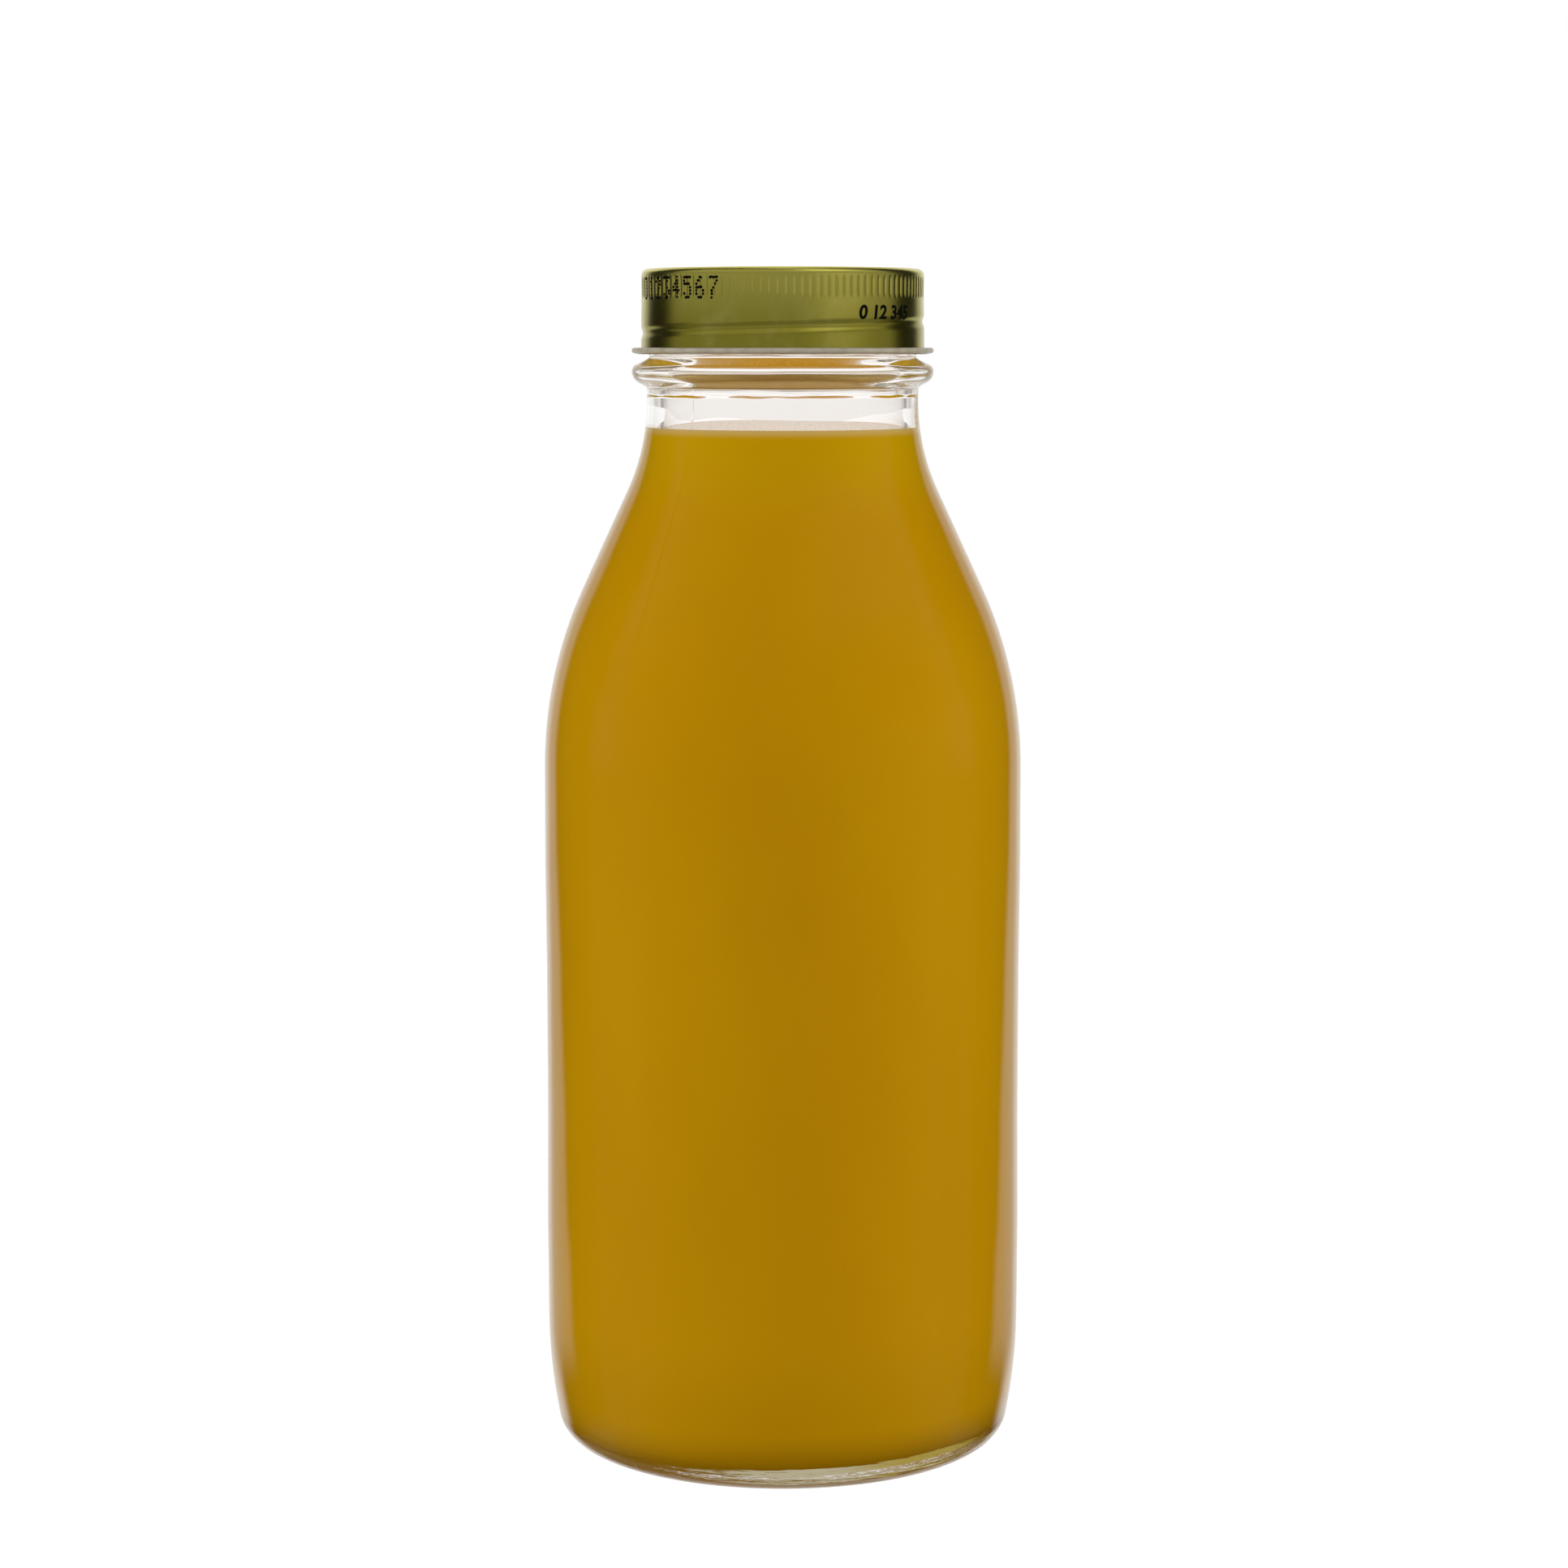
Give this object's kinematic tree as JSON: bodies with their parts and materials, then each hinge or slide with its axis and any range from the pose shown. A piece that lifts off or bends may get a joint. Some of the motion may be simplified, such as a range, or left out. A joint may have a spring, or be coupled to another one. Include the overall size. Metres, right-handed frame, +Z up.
{
  "type": "screw-top glass bottle of juice",
  "caption": "Clear glass bottle with a wide beaded neck and long shoulders, filled with opaque yellow juice and shut with a ribbed gold screw lid.",
  "frame": {"origin": "centre of the ring that the bottle rests on, in the plane of the surface below it", "axes": "+Z up along the bottle's axis, -Y the front, +X to the right of the front"},
  "size_m": [0.097, 0.097, 0.2392],
  "materials": {
    "clear_glass": "clear and glossy",
    "yellow_juice": "opaque and smooth",
    "gold_lacquer": "satin gold lacquer"
  },
  "bodies": {
    "root": {"bottle": "clear_glass", "juice": "yellow_juice", "lid": "gold_lacquer"}
  },
  "joints": []
}
